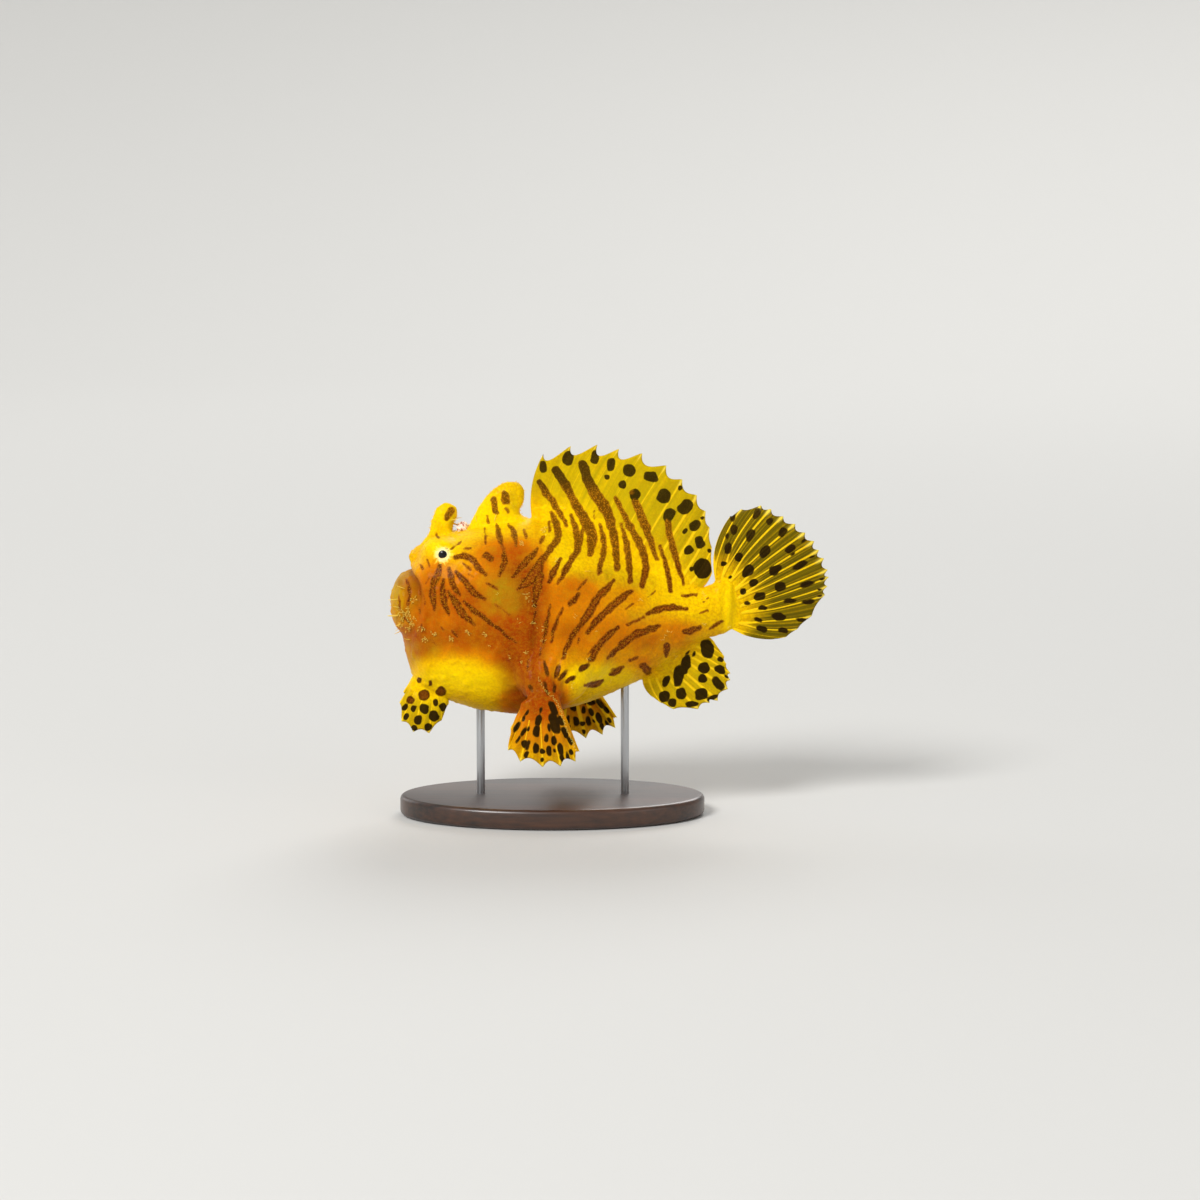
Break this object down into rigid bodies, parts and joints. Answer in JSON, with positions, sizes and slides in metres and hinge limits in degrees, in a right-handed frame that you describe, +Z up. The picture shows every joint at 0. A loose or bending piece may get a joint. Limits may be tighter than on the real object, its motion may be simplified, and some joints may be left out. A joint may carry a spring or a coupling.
{
  "type": "frogfish",
  "caption": "Yellow striated frogfish with dark stripes and spots, hovering with hand-like fins hanging, held over an oval display base by two rods.",
  "frame": {"origin": "middle of the underside of the display base", "axes": "+Z up, -X towards the snout, +X towards the tail, -Y towards the fish's left side"},
  "size_m": [0.1308, 0.0614, 0.1117],
  "materials": {
    "skin": "satin",
    "fin": "satin",
    "lure": "satin",
    "eye": "gloss",
    "stand_wood": "satin",
    "stand_steel": "brushed"
  },
  "bodies": {
    "root": {"head": "skin", "lower_jaw": "skin", "trunk": "skin", "tail_stem": "skin", "second_dorsal_spine": "skin", "third_dorsal_spine": "skin", "pectoral_arm_left": "skin", "pectoral_arm_right": "skin", "dorsal_fin": "fin", "caudal_fin": "fin", "anal_fin": "fin", "pectoral_fin_left": "fin", "pectoral_fin_right": "fin", "pelvic_fin_left": "fin", "pelvic_fin_right": "fin", "illicium": "skin", "esca": "lure", "eye_left": "eye", "eye_right": "eye", "stand_base": "stand_wood", "stand_rod_front": "stand_steel", "stand_rod_rear": "stand_steel"}
  },
  "joints": []
}
